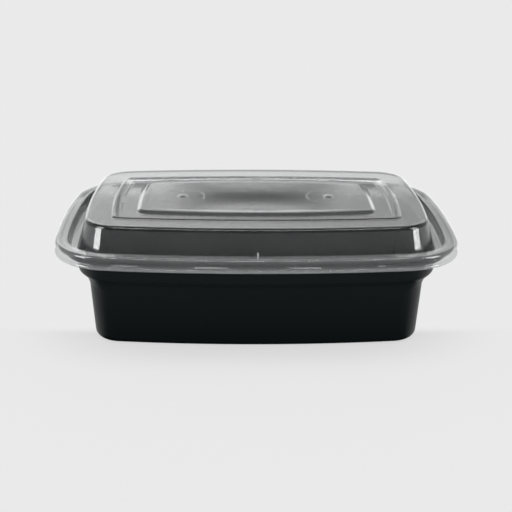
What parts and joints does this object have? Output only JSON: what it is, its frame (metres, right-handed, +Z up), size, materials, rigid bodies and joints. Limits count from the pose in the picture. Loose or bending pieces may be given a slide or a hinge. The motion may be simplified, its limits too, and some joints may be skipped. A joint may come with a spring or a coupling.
{
  "type": "takeaway meal container",
  "caption": "Rectangular takeaway meal container with bowed sides: an opaque black plastic tray closed by a clear domed lid that presses on.",
  "frame": {"origin": "centre of the base, on the surface that the tray stands on", "axes": "+X along the long side, +Y to the back long side, +Z up"},
  "size_m": [0.222, 0.156, 0.0689],
  "materials": {
    "black_plastic": "satin, fine grained",
    "clear_plastic": "slightly hazy, glossy"
  },
  "bodies": {
    "root": {"tray": "black_plastic", "lid": "clear_plastic"}
  },
  "joints": []
}
